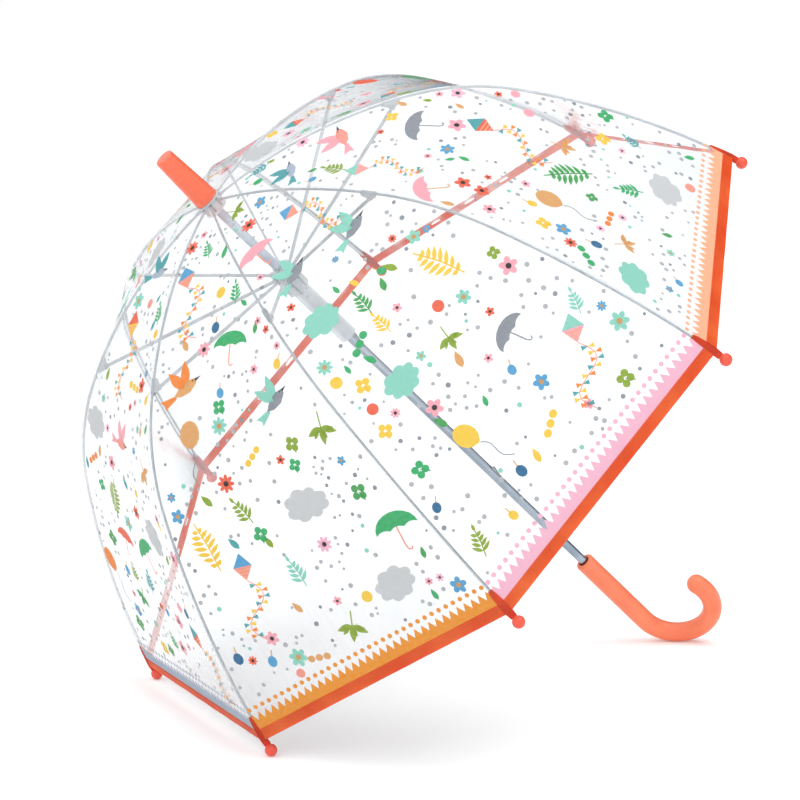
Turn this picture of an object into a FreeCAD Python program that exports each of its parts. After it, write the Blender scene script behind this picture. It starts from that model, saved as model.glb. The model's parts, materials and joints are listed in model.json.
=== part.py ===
import FreeCAD, Part
import math
import os

from FreeCAD import Placement, Rotation, Vector

# A child's dome umbrella, open, lying on two rib tips and on its hook handle.
# Every piece is first built in the umbrella's own axes: Z along the shaft towards
# the ferrule, and Z = 0 in the plane of the tip balls. The last step tilts them all
# into the lying pose, with the floor at Z = 0 and the handle towards +X.
# Lengths are in millimetres and angles in degrees.

# ---- driving dimensions ----
RIB_COUNT = 8
RIB_PITCH = 360.0 / RIB_COUNT
FIRST_RIB_AZIMUTH = RIB_PITCH / 2
RIM_RADIUS = 347.0
HINGE_RADIUS = 8.0
HINGE_Z = 298.0
CROWN_SLOPE = 2.5
RIB_BEND_RADII = (400.0, 210.0)
RIB_BEND_TURNS = (26.0, 26.0)

RIB_RADIUS = 1.1
BLADE_THICKNESS = 1.4
BLADE_LENGTH = 9.0
EYE_RADIUS = 1.7
WIRE_RADIUS = 0.55
PIN_CLEARANCE = 0.1

BRACKET_RADIUS = 168.0
BRACKET_DROP = 5.5
BRACKET_LENGTH = 14.0
PLATE_THICKNESS = 0.7
RIVET_RADIUS = 0.8
RIVET_HEAD_RADIUS = 1.4
RIVET_HEAD_HEIGHT = 0.5

STRETCHER_THICKNESS = 1.6
STRETCHER_HALF_WIDTH = 1.3
STRETCHER_OUTER_EYE = 2.0
STRETCHER_INNER_EYE = 1.8

BALL_RADIUS = 5.25
STEM_LENGTH = 9.8
STEM_BALL_RADIUS = 3.0
STEM_MOUTH_RADIUS = 2.4
RIB_SHORT_OF_BALL = 1.5

FILM_OFFSET = 1.9
FILM_THICKNESS = 0.2
FILM_START_RADIUS = 10.8
SEAM_GAP = 0.4
HEM_WIDTH = 10.0
HEM_THICKNESS = 0.9
HEM_GAP = 0.3
HEM_SHORT_OF_BALL = 10.5

SHAFT_RADIUS = 4.0
SHAFT_WALL = 0.6
SLIDING_CLEARANCE = 0.35
PRESS_CLEARANCE = 0.03

CROWN_BODY_RADIUS = 10.2
CROWN_HEIGHT = 10.0
CROWN_TOP_ABOVE_HINGE = 1.9
CROWN_SLOT_WIDTH = 2.0
CROWN_SLOT_INNER_RADIUS = 6.0
CROWN_FLOOR = 2.0

WASHER_RADIUS = 11.6
WASHER_THICKNESS = 1.6
WASHER_ABOVE_HINGE = 2.8

FERRULE_LENGTH = 52.5
FERRULE_BASE_RADIUS = 10.65
FERRULE_TOP_RADIUS = 8.35
FERRULE_EDGE = 1.6
FERRULE_SOCKET = 32.0

RUNNER_RADIUS = 7.9
RUNNER_CROWN_RADIUS = 10.6
RUNNER_CROWN_DEPTH = 26.0
RUNNER_BELOW_PIVOT = 82.0
RUNNER_ABOVE_PIVOT = 7.0
RUNNER_SLOT_WIDTH = 2.3
RUNNER_SLOT_INNER_RADIUS = 5.8
RUNNER_SLOT_DEPTH = 21.5
KEYWAY_WIDTH = 3.0
KEYWAY_RADIUS = 6.9

LATCH_WIDTH = 1.8
LATCH_HEIGHT = 13.0
LATCH_REACH = 6.3
LATCH_LEAF_LENGTH = 36.0
LATCH_LEAF_INNER = 0.2
LATCH_LEAF_THICKNESS = 0.8
LATCH_WINDOW_WIDTH = 2.4
LATCH_WINDOW_MARGIN = 3.0
LATCH_BELOW_RUNNER = 1.2
BOTTOM_LATCH_Z = -64.0

STOP_PIN_RADIUS = 1.0
STOP_PIN_REACH = 6.2
STOP_PIN_GAP = 0.1

HANDLE_RADIUS = 8.75
HANDLE_TOP_Z = -199.0
HANDLE_BEND_Z = -289.0
HANDLE_BEND_RADIUS = 34.5
HANDLE_BEND_TURN = 197.0
HANDLE_AZIMUTH = -45.0
HANDLE_SOCKET = 45.0
HANDLE_MOUTH_RADIUS = 5.4
HANDLE_MOUTH_DEPTH = 3.5
HANDLE_EDGE = 1.8

Y_AXIS = Vector(0, 1, 0)
Z_AXIS = Vector(0, 0, 1)


def rad(degrees):
    return math.radians(degrees)


# ---- the rib's curve: three tangent arcs in the XZ plane ----
# A place on the curve is named by its slope, the angle below the horizontal, which
# only grows from the crown to the tip. The last arc is worked out so that the curve
# ends at the tip ball's centre.
def rib_arcs():
    arcs = []
    radius_at, z_at, slope = HINGE_RADIUS, HINGE_Z, CROWN_SLOPE
    for bend, turn in zip(RIB_BEND_RADII, RIB_BEND_TURNS):
        centre_r = radius_at - bend * math.sin(rad(slope))
        centre_z = z_at - bend * math.cos(rad(slope))
        arcs.append((centre_r, centre_z, bend, slope, slope + turn))
        slope += turn
        radius_at = centre_r + bend * math.sin(rad(slope))
        z_at = centre_z + bend * math.cos(rad(slope))
    chord = math.hypot(RIM_RADIUS - radius_at, z_at)
    chord_slope = math.degrees(math.atan2(z_at, RIM_RADIUS - radius_at))
    turn = 2 * (chord_slope - slope)
    bend = chord / (2 * math.sin(rad(turn / 2)))
    centre_r = radius_at - bend * math.sin(rad(slope))
    centre_z = z_at - bend * math.cos(rad(slope))
    arcs.append((centre_r, centre_z, bend, slope, slope + turn))
    return arcs


RIB_ARCS = rib_arcs()
TIP_SLOPE = RIB_ARCS[-1][4]
TIP_BEND = RIB_ARCS[-1][2]


def rib_point(slope, offset=0.0):
    """The curve's point at a slope, moved outwards by offset."""
    for centre_r, centre_z, bend, first, last in RIB_ARCS:
        if slope <= last + 1e-9:
            break
    reach = bend + offset
    return Vector(centre_r + reach * math.sin(rad(slope)), 0, centre_z + reach * math.cos(rad(slope)))


def slope_at_radius(radius):
    centre_r, centre_z, bend, first, last = RIB_ARCS[0]
    return math.degrees(math.asin((radius - centre_r) / bend))


def slope_before_ball(distance):
    return TIP_SLOPE - math.degrees(distance / TIP_BEND)


def curve_edges(start, end, offset):
    """Arc edges along the curve from one slope to the other."""
    edges = []
    for _, _, _, first, last in RIB_ARCS:
        low, high = max(first, start), min(last, end)
        if high - low > 1e-6:
            middle = (low + high) / 2
            ends = [rib_point(low + 1e-9, offset), rib_point(middle, offset), rib_point(high, offset)]
            edges.append(Part.Arc(*ends).toShape())
    return edges


def rod_along_rib(start, end, radius):
    """A round rod whose centre line is the curve."""
    rod = None
    for centre_r, centre_z, _, first, last in RIB_ARCS:
        low, high = max(first, start), min(last, end)
        if high - low > 1e-6:
            section = Part.Circle(rib_point(low + 1e-9), tangent_at(low), radius).toShape()
            face = Part.Face(Part.Wire([section]))
            piece = face.revolve(Vector(centre_r, 0, centre_z), Y_AXIS, high - low)
            rod = piece if rod is None else rod.fuse(piece)
    return rod.removeSplitter()


def tangent_at(slope):
    return Vector(math.cos(rad(slope)), 0, -math.sin(rad(slope)))


def turned(shape, azimuth):
    copy = shape.copy()
    copy.rotate(Vector(0, 0, 0), Z_AXIS, azimuth)
    return copy


def tube(radius, low, high):
    return Part.makeCylinder(radius, high - low, Vector(0, 0, low))


def pin_along_y(centre, radius, half_length):
    return Part.makeCylinder(radius, 2 * half_length, centre - Y_AXIS * half_length, Y_AXIS)


def plate(points, half_thickness):
    """A flat plate in the XZ plane, as thick on each side of it."""
    outline = Part.makePolygon(points + points[:1])
    outline.translate(Y_AXIS * -half_thickness)
    return Part.Face(outline).extrude(Y_AXIS * (2 * half_thickness))


def bar(start, end, start_half_width, end_half_width, half_thickness):
    """A flat bar in the XZ plane between two points."""
    along = (end - start).normalize()
    across = along.cross(Y_AXIS)
    corners = [
        start + across * start_half_width,
        end + across * end_half_width,
        end - across * end_half_width,
        start - across * start_half_width,
    ]
    return plate(corners, half_thickness)


# ---- places that several pieces share ----
BRACKET_SLOPE = slope_at_radius(BRACKET_RADIUS)
BRACKET_PIVOT = rib_point(BRACKET_SLOPE, -BRACKET_DROP)
# The stretcher is as long as the rib's inner arm, so its runner pivot is level
# with the crown hinge mirrored in the bracket pivot.
RUNNER_PIVOT = Vector(HINGE_RADIUS, 0, 2 * BRACKET_PIVOT.z - HINGE_Z)
RUNNER_TOP = RUNNER_PIVOT.z + RUNNER_ABOVE_PIVOT
RUNNER_BOTTOM = RUNNER_PIVOT.z - RUNNER_BELOW_PIVOT
TOP_LATCH_Z = RUNNER_BOTTOM - LATCH_BELOW_RUNNER
FERRULE_BASE_Z = HINGE_Z + WASHER_ABOVE_HINGE + WASHER_THICKNESS + 0.1
STOP_PIN_Z = RUNNER_TOP + STOP_PIN_RADIUS + STOP_PIN_GAP
SHAFT_TOP = FERRULE_BASE_Z + FERRULE_SOCKET
SHAFT_BOTTOM = HANDLE_TOP_Z - HANDLE_SOCKET
SOCKET_RADIUS = SHAFT_RADIUS + PRESS_CLEARANCE


# ---- pieces on the shaft ----
def latch_window(top):
    """The slot in the shaft that a latch's nose comes out through."""
    height = LATCH_HEIGHT + 2 * LATCH_WINDOW_MARGIN
    low = top - LATCH_HEIGHT - LATCH_WINDOW_MARGIN
    corner = Vector(0, -LATCH_WINDOW_WIDTH / 2, low)
    return Part.makeBox(SHAFT_RADIUS + 1, LATCH_WINDOW_WIDTH, height, corner)


def shaft_tube():
    shape = tube(SHAFT_RADIUS, SHAFT_BOTTOM, SHAFT_TOP)
    shape = shape.cut(tube(SHAFT_RADIUS - SHAFT_WALL, SHAFT_BOTTOM - 1, SHAFT_TOP + 1))
    shape = shape.cut(latch_window(TOP_LATCH_Z))
    shape = shape.cut(latch_window(BOTTOM_LATCH_Z))
    pin_hole = pin_along_y(Vector(0, 0, STOP_PIN_Z), STOP_PIN_RADIUS + PRESS_CLEARANCE, SHAFT_RADIUS + 1)
    return turned(shape.cut(pin_hole), HANDLE_AZIMUTH)


def latch(top):
    """A leaf inside the shaft with a wedge nose: flat on top, sloping below."""
    leaf_outer = LATCH_LEAF_INNER + LATCH_LEAF_THICKNESS
    points = [
        Vector(LATCH_LEAF_INNER, 0, top),
        Vector(LATCH_REACH, 0, top),
        Vector(LATCH_REACH, 0, top - 1.5),
        Vector(SHAFT_RADIUS, 0, top - LATCH_HEIGHT + 1),
        Vector(leaf_outer, 0, top - LATCH_HEIGHT),
        Vector(leaf_outer, 0, top - LATCH_LEAF_LENGTH),
        Vector(LATCH_LEAF_INNER, 0, top - LATCH_LEAF_LENGTH),
    ]
    return plate(points, LATCH_WIDTH / 2)


def stop_pin():
    return pin_along_y(Vector(0, 0, STOP_PIN_Z), STOP_PIN_RADIUS, STOP_PIN_REACH)


def ferrule():
    top = FERRULE_BASE_Z + FERRULE_LENGTH
    shape = Part.makeCone(
        FERRULE_BASE_RADIUS, FERRULE_TOP_RADIUS, FERRULE_LENGTH, Vector(0, 0, FERRULE_BASE_Z)
    )
    rim = [edge for edge in shape.Edges if abs(edge.BoundBox.ZMin - top) < 1e-6]
    shape = shape.makeFillet(FERRULE_EDGE, rim)
    return shape.cut(tube(SOCKET_RADIUS, FERRULE_BASE_Z - 1, SHAFT_TOP + 0.1))


def canopy_washer():
    low = HINGE_Z + WASHER_ABOVE_HINGE
    disc = tube(WASHER_RADIUS, low, low + WASHER_THICKNESS)
    return disc.cut(tube(SOCKET_RADIUS, low - 1, low + WASHER_THICKNESS + 1))


def crown():
    top = HINGE_Z + CROWN_TOP_ABOVE_HINGE
    low = top - CROWN_HEIGHT
    shape = tube(CROWN_BODY_RADIUS, low, top).cut(tube(SOCKET_RADIUS, low - 1, top + 1))
    shape = shape.cut(Part.makeTorus(HINGE_RADIUS, WIRE_RADIUS + PIN_CLEARANCE, Vector(0, 0, HINGE_Z)))
    slot = Part.makeBox(
        CROWN_BODY_RADIUS,
        CROWN_SLOT_WIDTH,
        CROWN_HEIGHT,
        Vector(CROWN_SLOT_INNER_RADIUS, -CROWN_SLOT_WIDTH / 2, low + CROWN_FLOOR),
    )
    for index in range(RIB_COUNT):
        shape = shape.cut(turned(slot, rib_azimuth(index)))
    return shape


def crown_wire():
    return Part.makeTorus(HINGE_RADIUS, WIRE_RADIUS, Vector(0, 0, HINGE_Z))


def runner():
    shape = tube(RUNNER_RADIUS, RUNNER_BOTTOM, RUNNER_TOP)
    shape = shape.fuse(tube(RUNNER_CROWN_RADIUS, RUNNER_TOP - RUNNER_CROWN_DEPTH, RUNNER_TOP))
    shape = shape.removeSplitter()
    shape = shape.cut(tube(SHAFT_RADIUS + SLIDING_CLEARANCE, RUNNER_BOTTOM - 1, RUNNER_TOP + 1))
    keyway = Part.makeBox(
        KEYWAY_RADIUS,
        KEYWAY_WIDTH,
        RUNNER_TOP - RUNNER_BOTTOM + 2,
        Vector(0, -KEYWAY_WIDTH / 2, RUNNER_BOTTOM - 1),
    )
    shape = shape.cut(turned(keyway, HANDLE_AZIMUTH))
    slot = Part.makeBox(
        RUNNER_CROWN_RADIUS,
        RUNNER_SLOT_WIDTH,
        RUNNER_SLOT_DEPTH + RUNNER_ABOVE_PIVOT + 1,
        Vector(RUNNER_SLOT_INNER_RADIUS, -RUNNER_SLOT_WIDTH / 2, RUNNER_PIVOT.z - RUNNER_SLOT_DEPTH),
    )
    for index in range(RIB_COUNT):
        shape = shape.cut(turned(slot, rib_azimuth(index)))
    return shape


def handle():
    """A round bar that turns back on itself in one bend, with a rounded end."""
    straight = tube(HANDLE_RADIUS, HANDLE_BEND_Z, HANDLE_TOP_Z)
    rim = [edge for edge in straight.Edges if abs(edge.BoundBox.ZMin - HANDLE_TOP_Z) < 1e-6]
    straight = straight.makeFillet(HANDLE_EDGE, rim)
    section = Part.Circle(Vector(0, 0, HANDLE_BEND_Z), Z_AXIS, HANDLE_RADIUS).toShape()
    face = Part.Face(Part.Wire([section]))
    bend = face.revolve(Vector(HANDLE_BEND_RADIUS, 0, HANDLE_BEND_Z), Y_AXIS * -1, HANDLE_BEND_TURN)
    end = handle_line(HANDLE_BEND_TURN)
    shape = straight.fuse([bend, Part.makeSphere(HANDLE_RADIUS, end)]).removeSplitter()
    shape = shape.cut(tube(SOCKET_RADIUS, SHAFT_BOTTOM - 0.2, HANDLE_TOP_Z + 1))
    mouth = tube(HANDLE_MOUTH_RADIUS, HANDLE_TOP_Z - HANDLE_MOUTH_DEPTH, HANDLE_TOP_Z + 1)
    return turned(shape.cut(mouth), HANDLE_AZIMUTH)


def handle_line(turn):
    """A point on the bend's centre line, before the handle is turned to its azimuth."""
    across = HANDLE_BEND_RADIUS * (1 - math.cos(rad(turn)))
    down = HANDLE_BEND_RADIUS * math.sin(rad(turn))
    return Vector(across, 0, HANDLE_BEND_Z - down)


# ---- pieces that repeat around the shaft ----
def rib_azimuth(index):
    return FIRST_RIB_AZIMUTH + index * RIB_PITCH


def rib():
    """A round wire with its inner end flattened and pierced for the crown wire."""
    blade_end_slope = slope_at_radius(HINGE_RADIUS + BLADE_LENGTH)
    hinge = rib_point(CROWN_SLOPE)
    rod_start = slope_at_radius(HINGE_RADIUS + BLADE_LENGTH - 3)
    blade = bar(hinge, rib_point(blade_end_slope), EYE_RADIUS, RIB_RADIUS * 0.9, BLADE_THICKNESS / 2)
    eye = pin_along_y(hinge, EYE_RADIUS, BLADE_THICKNESS / 2)
    rod = rod_along_rib(rod_start, slope_before_ball(RIB_SHORT_OF_BALL), RIB_RADIUS)
    shape = rod.fuse([blade, eye])
    return shape.cut(pin_along_y(hinge, WIRE_RADIUS + PIN_CLEARANCE, BLADE_THICKNESS))


def rib_bracket():
    """A folded clip on the rib with two ears and a rivet for the stretcher."""
    inner = RIB_RADIUS + 0.08
    along = tangent_at(BRACKET_SLOPE)
    outward = Vector(-along.z, 0, along.x)
    middle = rib_point(BRACKET_SLOPE)
    half = along * (BRACKET_LENGTH / 2)
    ear = along * STRETCHER_OUTER_EYE

    def at(offset, step):
        return middle + outward * offset + step

    side = [
        at(0.6, half * -1),
        at(0.6, half),
        at(-2.3, half),
        at(-BRACKET_DROP, ear),
        at(-BRACKET_DROP, ear * -1),
        at(-2.3, half * -1),
    ]
    body = plate(side, inner + PLATE_THICKNESS)
    body = body.fuse(pin_along_y(BRACKET_PIVOT, STRETCHER_OUTER_EYE, inner + PLATE_THICKNESS))
    web = [
        at(-inner - PLATE_THICKNESS, half * -1),
        at(-inner - PLATE_THICKNESS, half),
        at(-inner, half),
        at(-inner, half * -1),
    ]
    hollow = [at(2, half * -2), at(2, half * 2), at(-12, half * 2), at(-12, half * -2)]
    body = body.cut(plate(hollow, inner)).fuse(plate(web, inner + 0.2))
    reach = inner + PLATE_THICKNESS + RIVET_HEAD_HEIGHT
    rivet = pin_along_y(BRACKET_PIVOT, RIVET_RADIUS, reach)
    heads = pin_along_y(BRACKET_PIVOT, RIVET_HEAD_RADIUS, reach)
    heads = heads.cut(pin_along_y(BRACKET_PIVOT, RIVET_HEAD_RADIUS + 1, inner + PLATE_THICKNESS))
    return body.fuse([rivet, heads]).removeSplitter()


def stretcher():
    """A flat strut with an eye at each end."""
    half = STRETCHER_THICKNESS / 2
    inner_half = BLADE_THICKNESS / 2
    shape = bar(RUNNER_PIVOT, BRACKET_PIVOT, STRETCHER_HALF_WIDTH, STRETCHER_HALF_WIDTH, half)
    shape = shape.fuse(pin_along_y(BRACKET_PIVOT, STRETCHER_OUTER_EYE, half))
    shape = shape.fuse(pin_along_y(RUNNER_PIVOT, STRETCHER_INNER_EYE, inner_half))
    shape = shape.cut(pin_along_y(BRACKET_PIVOT, RIVET_RADIUS + PIN_CLEARANCE, 2))
    return shape.cut(pin_along_y(RUNNER_PIVOT, WIRE_RADIUS + PIN_CLEARANCE, 2))


def tip():
    """A ball with a tapered stem that the rib's end is pressed into."""
    centre = rib_point(TIP_SLOPE)
    inward = tangent_at(TIP_SLOPE) * -1
    stem = Part.makeCone(STEM_BALL_RADIUS, STEM_MOUTH_RADIUS, STEM_LENGTH, centre, inward)
    shape = Part.makeSphere(BALL_RADIUS, centre).fuse(stem)
    start = slope_before_ball(STEM_LENGTH + 3)
    bore = rod_along_rib(start, slope_before_ball(RIB_SHORT_OF_BALL - 0.1), RIB_RADIUS + PRESS_CLEARANCE)
    return shape.cut(bore)


def gore(start, end, inner_offset, thickness):
    """A thin skin from one rib to the next, straight between the ribs."""
    inner = curve_edges(start, end, inner_offset)
    outer = curve_edges(start, end, inner_offset + thickness)
    first = Part.makeLine(rib_point(start, inner_offset), rib_point(start, inner_offset + thickness))
    last = Part.makeLine(rib_point(end, inner_offset), rib_point(end, inner_offset + thickness))
    section = Part.Wire(Part.__sortEdges__(inner + [last] + outer + [first]))
    near = section.copy()
    near.translate(Y_AXIS * SEAM_GAP)
    far = section.copy()
    far.translate(Y_AXIS * -SEAM_GAP)
    far.rotate(Vector(0, 0, 0), Z_AXIS, RIB_PITCH)
    return Part.makeLoft([near, far], True, True)


def panel():
    start = slope_at_radius(FILM_START_RADIUS)
    end = slope_before_ball(HEM_SHORT_OF_BALL + HEM_WIDTH + HEM_GAP)
    return gore(start, end, FILM_OFFSET, FILM_THICKNESS)


def hem():
    start = slope_before_ball(HEM_SHORT_OF_BALL + HEM_WIDTH)
    return gore(start, slope_before_ball(HEM_SHORT_OF_BALL), FILM_OFFSET, HEM_THICKNESS)


# ---- the lying pose ----
def rest_elevation():
    """The shaft's angle above the floor when two tips and the hook touch it at once."""
    low, high = 30.0, 60.0
    lean = math.cos(rad(HANDLE_AZIMUTH))
    for _ in range(60):
        elevation = (low + high) / 2
        up_x, up_z = math.cos(rad(elevation)), math.sin(rad(elevation))
        tip_height = -RIM_RADIUS * math.cos(rad(RIB_PITCH / 2)) * up_x - BALL_RADIUS
        touch = handle_line(math.degrees(math.atan2(up_z, up_x * lean)))
        hook_height = touch.x * lean * up_x + touch.z * up_z - HANDLE_RADIUS
        if tip_height < hook_height:
            low = elevation
        else:
            high = elevation
    return elevation


REST_ELEVATION = rest_elevation()


def build():
    shapes = {
        "shaft_tube": shaft_tube(),
        "ferrule": ferrule(),
        "canopy_washer": canopy_washer(),
        "crown": crown(),
        "crown_wire": crown_wire(),
        "runner": runner(),
        "top_spring": turned(latch(TOP_LATCH_Z), HANDLE_AZIMUTH),
        "bottom_spring": turned(latch(BOTTOM_LATCH_Z), HANDLE_AZIMUTH),
        "stop_pin": turned(stop_pin(), HANDLE_AZIMUTH),
        "handle": handle(),
    }
    repeated = {
        "rib": rib(),
        "rib_bracket": rib_bracket(),
        "stretcher": stretcher(),
        "tip": tip(),
        "panel": panel(),
        "hem": hem(),
    }
    for name, shape in repeated.items():
        for index in range(RIB_COUNT):
            shapes[f"{name}_{index + 1}"] = turned(shape, rib_azimuth(index))
    return shapes


def lying_placement(shapes):
    """Tilts the umbrella, then puts the bottom centre of its box at the origin."""
    tilt = Placement(Vector(0, 0, 0), Rotation(Y_AXIS, REST_ELEVATION - 90))
    box = FreeCAD.BoundBox()
    for shape in shapes.values():
        lying = shape.copy()
        lying.Placement = tilt.multiply(lying.Placement)
        for point in lying.tessellate(0.02)[0]:
            box.add(point)
    shift = Vector(-(box.XMin + box.XMax) / 2, -(box.YMin + box.YMax) / 2, -box.ZMin)
    return Placement(shift, tilt.Rotation)


def main():
    os.makedirs("parts", exist_ok=True)
    shapes = build()
    placement = lying_placement(shapes)
    for name, shape in shapes.items():
        lying = shape.copy()
        lying.Placement = placement.multiply(lying.Placement)
        lying.exportStep(f"parts/{name}.step")
        if not lying.isValid() or len(lying.Solids) != 1:
            print("check", name, lying.isValid(), len(lying.Solids))
    print("shaft elevation", round(REST_ELEVATION, 3), "shift", placement.Base)


main()
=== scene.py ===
import math
import random

import bmesh
import bpy
import numpy as np
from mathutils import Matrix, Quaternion, Vector
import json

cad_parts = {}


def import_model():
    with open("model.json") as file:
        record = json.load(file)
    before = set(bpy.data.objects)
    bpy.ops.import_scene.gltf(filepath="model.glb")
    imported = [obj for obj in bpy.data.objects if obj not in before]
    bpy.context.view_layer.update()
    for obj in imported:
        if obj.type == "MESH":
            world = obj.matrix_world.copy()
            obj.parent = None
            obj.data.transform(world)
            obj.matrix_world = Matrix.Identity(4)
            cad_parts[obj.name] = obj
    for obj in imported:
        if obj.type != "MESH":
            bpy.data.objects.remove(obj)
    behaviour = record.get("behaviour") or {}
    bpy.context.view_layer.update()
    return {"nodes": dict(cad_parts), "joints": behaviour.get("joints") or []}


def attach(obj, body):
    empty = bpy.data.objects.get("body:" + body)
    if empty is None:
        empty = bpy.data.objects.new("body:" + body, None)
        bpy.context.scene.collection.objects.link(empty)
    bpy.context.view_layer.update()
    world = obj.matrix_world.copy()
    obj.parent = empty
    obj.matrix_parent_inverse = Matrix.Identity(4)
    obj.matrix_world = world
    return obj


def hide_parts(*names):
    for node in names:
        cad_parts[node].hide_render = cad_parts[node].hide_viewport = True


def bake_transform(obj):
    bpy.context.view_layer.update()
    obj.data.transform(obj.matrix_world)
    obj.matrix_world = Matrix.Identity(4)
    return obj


# The looks of a child's clear dome umbrella: printed film canopy, coral hem and
# fittings, bright shaft. Soft pieces are built in the umbrella's own axes, in
# millimetres, with Z along the shaft towards the ferrule and Z = 0 in the plane of
# the tip balls. placed() turns them into the row frame, in metres.

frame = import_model()

# ---- driving dimensions, in millimetres ----
MM = 0.001
GORES = 8
PITCH = 2 * math.pi / GORES
HALF_PITCH = PITCH / 2
RIM_RADIUS = 347.0
HINGE_RADIUS = 8.0
HINGE_Z = 298.0
CROWN_SLOPE = math.radians(2.5)
BEND_RADII = (400.0, 210.0)
BEND_TURN = math.radians(26.0)

FILM_OFFSET = 2.0
FILM_TOP = 3.0
HEM_BOTTOM_BEFORE_BALL = 10.5
HEM_WIDTH = 10.0
HEM_THICKNESS = 0.9

BORDER_BAND = 7.4
TOOTH_COUNT = 35
TOOTH_HEIGHT = 7.0
BORDER_DOT_GAP = 4.0
BORDER_DOT_RADIUS = 2.1


# ---- the umbrella's axes in the row frame ----
joints = {joint["name"]: joint for joint in frame["joints"]}
hinge_places = [Vector(joints[f"rib_hinge_{index}"]["pos_m"]) for index in range(1, GORES + 1)]
crown_centre = sum(hinge_places, Vector()) / GORES
Z_AXIS = -Vector(joints["runner_slide"]["axis"])
Y_AXIS = Vector((0, 1, 0))
X_AXIS = Y_AXIS.cross(Z_AXIS)
ORIGIN = crown_centre - Z_AXIS * (HINGE_Z * MM)
AXES = np.array([X_AXIS, Y_AXIS, Z_AXIS])


def placed(points):
    """Umbrella millimetres to row-frame metres."""
    return np.asarray(points, float) @ AXES * MM + np.array(ORIGIN)


# ---- the rib's curve: three tangent arcs, the same as in the CAD source ----
def rib_arcs():
    arcs = []
    r, z, slope = HINGE_RADIUS, HINGE_Z, CROWN_SLOPE
    for bend in BEND_RADII:
        centre_r, centre_z = r - bend * math.sin(slope), z - bend * math.cos(slope)
        arcs.append((centre_r, centre_z, bend, slope, slope + BEND_TURN))
        slope += BEND_TURN
        r, z = centre_r + bend * math.sin(slope), centre_z + bend * math.cos(slope)
    chord = math.hypot(RIM_RADIUS - r, z)
    turn = 2 * (math.atan2(z, RIM_RADIUS - r) - slope)
    bend = chord / (2 * math.sin(turn / 2))
    arcs.append((r - bend * math.sin(slope), z - bend * math.cos(slope), bend, slope, slope + turn))
    return np.array(arcs)


ARCS = rib_arcs()
ARC_SLOPES = np.append(ARCS[:, 3], ARCS[-1, 4])
ARC_STATIONS = np.concatenate([[0.0], np.cumsum(ARCS[:, 2] * (ARCS[:, 4] - ARCS[:, 3]))])
BALL_STATION = ARC_STATIONS[-1]
HEM_BOTTOM = BALL_STATION - HEM_BOTTOM_BEFORE_BALL
HEM_TOP = HEM_BOTTOM - HEM_WIDTH
FILM_BOTTOM = HEM_TOP + HEM_WIDTH * 0.7


def rib_curve(station, offset=0.0):
    """Radius, height and slope at a distance along the rib from its hinge."""
    slope = np.interp(station, ARC_STATIONS, ARC_SLOPES)
    arc = np.clip(np.searchsorted(ARC_SLOPES, slope, side="right") - 1, 0, len(ARCS) - 1)
    reach = ARCS[arc, 2] + offset
    return ARCS[arc, 0] + reach * np.sin(slope), ARCS[arc, 1] + reach * np.cos(slope), slope


def half_width(station):
    """Half the gore's width at a distance along the rib."""
    return rib_curve(station, FILM_OFFSET)[0] * math.sin(HALF_PITCH)


# ---- the canopy's surface ----
BOW_SHARE = 0.045
RIPPLE = 0.35


def rib_azimuth(index):
    return (index - 0.5) * PITCH


def gore_azimuth(index):
    return index * PITCH


def ripple(gore, station, across):
    """Small hand-made unevenness of the stretched film, nothing at the ribs."""
    rise = np.sin(station / 37.0 + gore * 1.7) * np.cos(across / 23.0 + gore)
    rise = rise + 0.6 * np.sin(station / 17.0 - across / 11.0 + gore * 2.3)
    return RIPPLE * rise


def film_point(gore, station, share, lift=0.0):
    """A point of the film. share runs from -1 on rib_gore to 1 on the next rib."""
    station, share, lift = np.broadcast_arrays(
        np.asarray(station, float), np.asarray(share, float), np.asarray(lift, float))
    r, z, slope = rib_curve(station, FILM_OFFSET + lift)
    half = r * math.sin(HALF_PITCH)
    free = 1 - share**2
    tension = np.clip(1 - (station / HEM_TOP) ** 4, 0, 1)
    inward = (BOW_SHARE * half * tension - ripple(gore, station, share * half) * tension) * free
    out = r * math.cos(HALF_PITCH) - inward * np.sin(slope)
    height = z - inward * np.cos(slope)
    azimuth = gore_azimuth(gore)
    across = share * half
    return np.stack([
        out * math.cos(azimuth) - across * math.sin(azimuth),
        out * math.sin(azimuth) + across * math.cos(azimuth),
        height], axis=-1)


# ---- mesh helpers ----
def make_object(name, vertices, faces, materials, flat=None, face_inks=None):
    """A mesh object from umbrella millimetres.

    flat holds each vertex's place on the flat cut, in metres.
    """
    mesh = bpy.data.meshes.new(name)
    mesh.from_pydata(placed(vertices).tolist(), [], faces)
    for material in materials:
        mesh.materials.append(material)
    if face_inks is not None:
        mesh.polygons.foreach_set("material_index", face_inks)
    mesh.polygons.foreach_set("use_smooth", [True] * len(mesh.polygons))
    if flat is not None:
        layer = mesh.uv_layers.new(name="flat")
        corners = np.zeros(len(mesh.loops), np.int32)
        mesh.loops.foreach_get("vertex_index", corners)
        layer.data.foreach_set("uv", np.asarray(flat, np.float32)[corners].ravel())
    mesh.update()
    made = bpy.data.objects.new(name, mesh)
    bpy.context.scene.collection.objects.link(made)
    return made


def grid_faces(rows, columns, closed=False):
    """Quads over a grid of points, whose columns may close into a ring."""
    faces = []
    for row in range(rows - 1):
        for column in range(columns if closed else columns - 1):
            beside = (column + 1) % columns
            faces.append((row * columns + column, (row + 1) * columns + column,
                          (row + 1) * columns + beside, row * columns + beside))
    return faces


def ring_cap(row, columns, flip):
    ring = [row * columns + column for column in range(columns)]
    return tuple(reversed(ring)) if flip else tuple(ring)


def face_outwards(made):
    work = bmesh.new()
    work.from_mesh(made.data)
    bmesh.ops.recalc_face_normals(work, faces=work.faces[:])
    work.to_mesh(made.data)
    work.free()
    return made


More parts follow.
